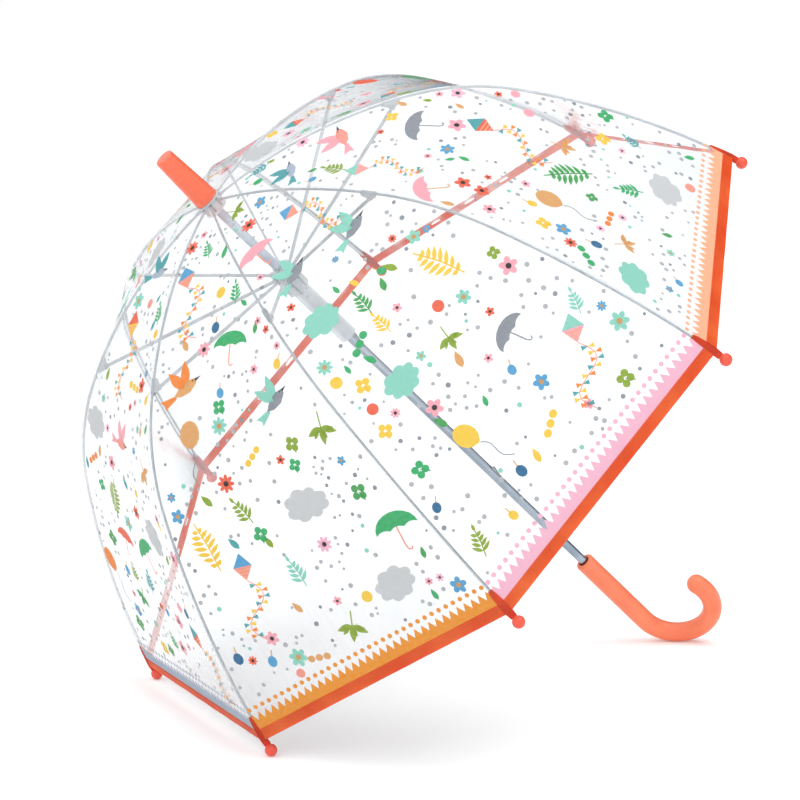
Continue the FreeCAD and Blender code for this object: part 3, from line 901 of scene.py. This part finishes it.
def tip_pocket(index):
    """The film pocket that holds a rib's end, tapering from the hem onto the tip's stem."""
    corners = 20
    # Each section: its place along the rib, half width, half depth and height off the rib.
    sections = [
        (HEM_TOP - 13, 1.9, 1.7, 0.7),
        (HEM_TOP - 9, 2.7, 2.1, 0.7),
        (HEM_TOP - 2, 3.2, 2.4, 0.7),
        (HEM_TOP + 5, 3.6, 2.6, 0.7),
        (HEM_BOTTOM - 1, 3.6, 2.8, 0.6),
        (HEM_BOTTOM + 2, 3.3, 3.0, 0.3),
        (HEM_BOTTOM + 3.6, 3.15, 3.05, 0.0),
        (HEM_BOTTOM + 4.8, 3.1, 3.1, 0.0),
    ]
    rings = [ring_at(station, rib_azimuth(index), wide, deep, offset, corners)
             for station, wide, deep, offset in sections]
    pleats = 1 + 0.05 * np.sin(np.arange(corners) * 2 * math.pi * 5 / corners)
    for ring in rings[:5]:
        middle = ring.mean(axis=0)
        ring[:] = middle + (ring - middle) * pleats[:, None]
    points = np.concatenate(rings)
    faces = grid_faces(len(rings), corners, closed=True)
    pocket = make_object(f"tip_pocket_{index}", points, faces, [POCKET])
    face_outwards(pocket)
    smooth_surface(pocket, 2)
    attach(pocket, f"rib_{index}")
    return pocket


def smooth_surface(made, levels):
    subdivision = made.modifiers.new("smooth", "SUBSURF")
    subdivision.levels = levels
    subdivision.render_levels = levels
    return made


def canopy():
    for gore in range(1, GORES + 1):
        next_rib = gore % GORES + 1
        edging, print_bottom = border(gore)
        work = cut_print(scatter(gore, print_bottom) + edging)
        work.verts.index_update()
        halves = {
            "near": (-1, f"rib_{gore}", f"panel_{gore}"),
            "far": (1, f"rib_{next_rib}", f"hem_{gore}"),
        }
        for half, (side, rib, crease) in halves.items():
            film = film_half(f"film_{half}_{gore}", gore, side)
            hem = hem_half(f"hem_{half}_{gore}", gore, side)
            inked = print_half(f"print_{half}_{gore}", gore, work, side)
            for piece in (film, hem, inked):
                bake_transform(piece)
            if half == "near":
                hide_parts(f"panel_{gore}")
            else:
                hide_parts(f"hem_{gore}")
        work.free()


def film_collar():
    """The gathered film edge and clear reinforcing disc under the ferrule."""
    corners, rows = 96, 8
    angles = np.linspace(0, 2 * math.pi, corners, endpoint=False)
    rings = []
    for share in np.linspace(0, 1, rows):
        radius = 8.9 + 9.5 * share + 0.7 * share * np.sin(angles * 8 + 0.4)
        drop = 2.6 * share**2 + 0.35 * share * np.sin(angles * 16) + 0.3 * share * np.sin(angles * 5 + 1)
        rings.append(np.stack([radius * np.cos(angles), radius * np.sin(angles), 303.3 - drop], axis=-1))
    faces = grid_faces(rows, corners, closed=True)
    collar = make_object("film_collar", np.concatenate(rings), faces, [SEAM])
    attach(collar, "shaft")


RUNNER_WIRE_RING = 8.0
RUNNER_WIRE_HEIGHT = 205.9
RUNNER_WIRE_THICKNESS = 0.5


def wire_ring(name, radius, height, thickness, body):
    """A closed ring of wire with a twisted join, round the shaft's axis."""
    around, section = 72, 10
    turn = np.linspace(0, 2 * math.pi, around, endpoint=False)
    rings = []
    for angle in turn:
        swell = thickness * (1 + 0.5 * math.exp(-((angle - math.pi) / 0.12) ** 2))
        part = np.linspace(0, 2 * math.pi, section, endpoint=False)
        reach = radius + swell * np.cos(part)
        rings.append(np.stack([reach * math.cos(angle), reach * math.sin(angle),
                               height + swell * np.sin(part)], axis=-1))
    faces = grid_faces(around, section, closed=True)
    faces += [((around - 1) * section + k, k, (k + 1) % section, (around - 1) * section + (k + 1) % section)
              for k in range(section)]
    ring = face_outwards(make_object(name, np.concatenate(rings), faces, [WIRE]))
    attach(ring, body)


canopy()
for rib_number in range(1, GORES + 1):
    seam_strip(rib_number)
    tip_pocket(rib_number)
film_collar()
wire_ring("runner_wire", RUNNER_WIRE_RING, RUNNER_WIRE_HEIGHT, RUNNER_WIRE_THICKNESS, "runner")


# ---- floor, light and camera ----
def floor():
    mesh = bpy.data.meshes.new("floor")
    size = 12.0
    corners = [(-size, -size, 0), (size, -size, 0), (size, size, 0), (-size, size, 0)]
    mesh.from_pydata(corners, [], [(0, 1, 2, 3)])
    made = bpy.data.objects.new("floor", mesh)
    bpy.context.scene.collection.objects.link(made)
    finish = Finish("floor")
    stops = [(0.3, colour("#FCFCFC")), (0.7, colour("#FEFEFE"))]
    tone = finish.ramp(finish.noise(finish.place(), 0.6, 2), stops)
    matt = finish.node("ShaderNodeBsdfDiffuse", Color=tone)
    lift = finish.node("ShaderNodeEmission", Color=tone, Strength=0.12)
    both = finish.node("ShaderNodeAddShader")
    finish.tree.links.new(matt.outputs["BSDF"], both.inputs[0])
    finish.tree.links.new(lift.outputs["Emission"], both.inputs[1])
    mesh.materials.append(finish.finish(both.outputs["Shader"]))


def area_light(name, place, target, size, power, shade=(1, 1, 1)):
    light = bpy.data.lights.new(name, "AREA")
    light.shape = "RECTANGLE"
    light.size, light.size_y = size
    light.energy = power
    light.color = shade
    made = bpy.data.objects.new(name, light)
    made.location = place
    made.rotation_mode = "QUATERNION"
    made.rotation_quaternion = (Vector(target) - Vector(place)).to_track_quat("-Z", "Y")
    bpy.context.scene.collection.objects.link(made)


def world():
    """White behind the object.

    Lighting and reflections see a studio that darkens to the right and rear.
    """
    made = bpy.data.worlds.new("studio")
    made.use_nodes = True
    tree = made.node_tree
    tree.nodes.clear()
    direction = tree.nodes.new("ShaderNodeTexCoord").outputs["Generated"]
    towards_dark = tree.nodes.new("ShaderNodeVectorMath")
    towards_dark.operation = "DOT_PRODUCT"
    towards_dark.inputs[1].default_value = Vector((0.75, 0.5, 0.25)).normalized()
    tree.links.new(direction, towards_dark.inputs[0])
    shade = tree.nodes.new("ShaderNodeValToRGB")
    elements = shade.color_ramp.elements
    elements[0].position, elements[0].color = 0.5, (0.98, 0.99, 1.0, 1)
    elements[1].position, elements[1].color = 0.85, (0.1, 0.11, 0.13, 1)
    tree.links.new(towards_dark.outputs["Value"], shade.inputs["Fac"])
    studio = tree.nodes.new("ShaderNodeBackground")
    tree.links.new(shade.outputs["Color"], studio.inputs["Color"])
    studio.inputs["Strength"].default_value = 1.1
    white = tree.nodes.new("ShaderNodeBackground")
    white.inputs["Color"].default_value = (1, 1, 1, 1)
    seen = tree.nodes.new("ShaderNodeLightPath").outputs["Is Camera Ray"]
    chosen = tree.nodes.new("ShaderNodeMixShader")
    tree.links.new(seen, chosen.inputs[0])
    tree.links.new(studio.outputs[0], chosen.inputs[1])
    tree.links.new(white.outputs[0], chosen.inputs[2])
    output = tree.nodes.new("ShaderNodeOutputWorld")
    tree.links.new(chosen.outputs[0], output.inputs["Surface"])
    bpy.context.scene.world = made


CAMERA_PLACE = Vector((-1.0444, -2.2023, 0.7068))
CAMERA_TARGET = Vector((-0.0076, 0.0194, 0.2515))
CAMERA_ROLL = math.radians(-2.1)
CAMERA_ANGLE = math.radians(16.08)


def camera():
    data = bpy.data.cameras.new("camera")
    data.sensor_fit = "HORIZONTAL"
    data.angle = CAMERA_ANGLE
    made = bpy.data.objects.new("camera", data)
    made.location = CAMERA_PLACE
    made.rotation_mode = "QUATERNION"
    look = (CAMERA_TARGET - CAMERA_PLACE).to_track_quat("-Z", "Y")
    made.rotation_quaternion = look @ Quaternion((0, 0, 1), CAMERA_ROLL)
    bpy.context.scene.collection.objects.link(made)
    bpy.context.scene.camera = made


floor()
world()
area_light("overhead", (0, 1.5, 6.0), (0, 1.5, 0), (9.0, 9.0), 110)
area_light("key", (0.7, -1.4, 2.4), (0, 0, 0.25), (1.4, 0.9), 14)
area_light("fill", (-2.4, -1.4, 1.6), (0, 0, 0.25), (1.0, 1.8), 8)
camera()
bpy.context.scene.view_settings.view_transform = "Standard"
